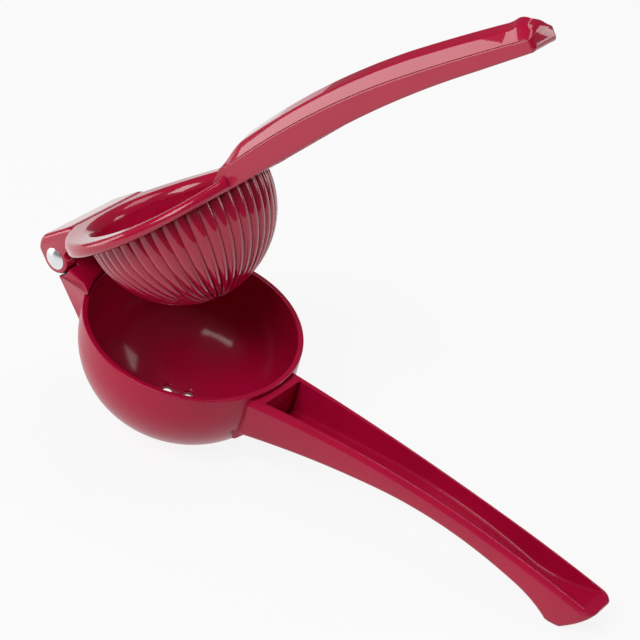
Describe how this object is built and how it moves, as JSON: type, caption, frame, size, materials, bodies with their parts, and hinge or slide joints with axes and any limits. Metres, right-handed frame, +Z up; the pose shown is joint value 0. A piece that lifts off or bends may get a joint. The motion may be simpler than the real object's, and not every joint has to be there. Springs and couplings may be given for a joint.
{
  "type": "hinged lemon squeezer",
  "caption": "Hinged citrus squeezer: a round bowl and a ribbed press, each cast with its channel handle, joined by a hinge pin.",
  "frame": {"origin": "centre of the resting squeezer's box, at the table", "axes": "+X along the lower handle away from the hinge, Y along the hinge pin, +Z up from the table"},
  "size_m": [0.2164, 0.0768, 0.1854],
  "materials": {
    "enamel_satin": "satin",
    "enamel_gloss": "gloss",
    "pin_steel": "polished"
  },
  "bodies": {
    "base": {"lower_casting": "enamel_satin"},
    "press": {"upper_casting": "enamel_gloss", "hinge_pin": "pin_steel"}
  },
  "joints": [
    {"name": "press_hinge", "type": "hinge", "parent": "base", "child": "press", "pos_m": [-0.10068, 0, 0.05341], "axis": [0, -1, 0], "range_deg": [-47.7, 73.5]}
  ]
}
